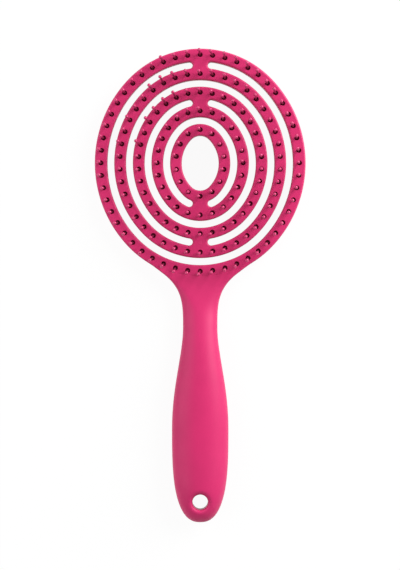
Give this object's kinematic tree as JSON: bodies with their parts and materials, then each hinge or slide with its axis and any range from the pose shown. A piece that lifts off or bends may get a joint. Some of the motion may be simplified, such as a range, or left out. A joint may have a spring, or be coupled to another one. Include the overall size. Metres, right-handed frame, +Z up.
{
  "type": "detangling brush",
  "caption": "Detangling hair brush with a vented oval head of sprung concentric rings, loose ball-tip pins and a hollow soft-touch handle with a hanging hole.",
  "frame": {"origin": "in the plane that the brush lies on, under the middle of its box", "axes": "+Z up out of the pinned face, +Y along the brush from the handle to the head, +X to the right seen from the pinned face"},
  "size_m": [0.1054, 0.2364, 0.018],
  "materials": {
    "soft_touch": "raspberry soft-touch lacquer on moulded plastic, very matt",
    "pins": "raspberry moulded nylon, satin, with a small highlight on each ball",
    "pin_bed": "dark soft strip under the pins' feet"
  },
  "bodies": {
    "root": {"front_grip": "soft_touch", "back_grip": "soft_touch", "front_neck": "soft_touch", "back_neck": "soft_touch", "front_ring_1": "soft_touch", "back_ring_1": "soft_touch", "pins_1": "pins", "pin_bed_1": "pin_bed"},
    "ring_2": {"front_ring_2": "soft_touch", "back_ring_2": "soft_touch", "front_web_2": "soft_touch", "back_web_2": "soft_touch", "pins_2": "pins", "pin_bed_2": "pin_bed"},
    "ring_3": {"front_ring_3": "soft_touch", "back_ring_3": "soft_touch", "front_web_3": "soft_touch", "back_web_3": "soft_touch", "pins_3": "pins", "pin_bed_3": "pin_bed"},
    "ring_4": {"front_ring_4": "soft_touch", "back_ring_4": "soft_touch", "front_web_4": "soft_touch", "back_web_4": "soft_touch", "pins_4": "pins", "pin_bed_4": "pin_bed"},
    "ring_5": {"front_ring_5": "soft_touch", "back_ring_5": "soft_touch", "front_web_5": "soft_touch", "back_web_5": "soft_touch", "pins_5": "pins", "pin_bed_5": "pin_bed"}
  },
  "joints": [
    {"name": "ring_2_flex", "type": "hinge", "parent": "root", "child": "ring_2", "pos_m": [0, 0.1103, 0.0035], "axis": [1, 0, 0], "range_deg": [-3, 4], "stiffness_Nm_per_rad": 3, "deforming": ["front_web_2", "back_web_2"]},
    {"name": "ring_3_flex", "type": "hinge", "parent": "ring_2", "child": "ring_3", "pos_m": [0, 0.0212, 0.0035], "axis": [-1, 0, 0], "range_deg": [-4, 5], "stiffness_Nm_per_rad": 2.2, "deforming": ["front_web_3", "back_web_3"]},
    {"name": "ring_4_flex", "type": "hinge", "parent": "ring_3", "child": "ring_4", "pos_m": [0, 0.0917, 0.0035], "axis": [1, 0, 0], "range_deg": [-5, 6], "stiffness_Nm_per_rad": 1.5, "deforming": ["front_web_4", "back_web_4"]},
    {"name": "ring_5_flex", "type": "hinge", "parent": "ring_4", "child": "ring_5", "pos_m": [0, 0.0398, 0.0035], "axis": [-1, 0, 0], "range_deg": [-6, 8], "stiffness_Nm_per_rad": 0.9, "deforming": ["front_web_5", "back_web_5"]}
  ]
}
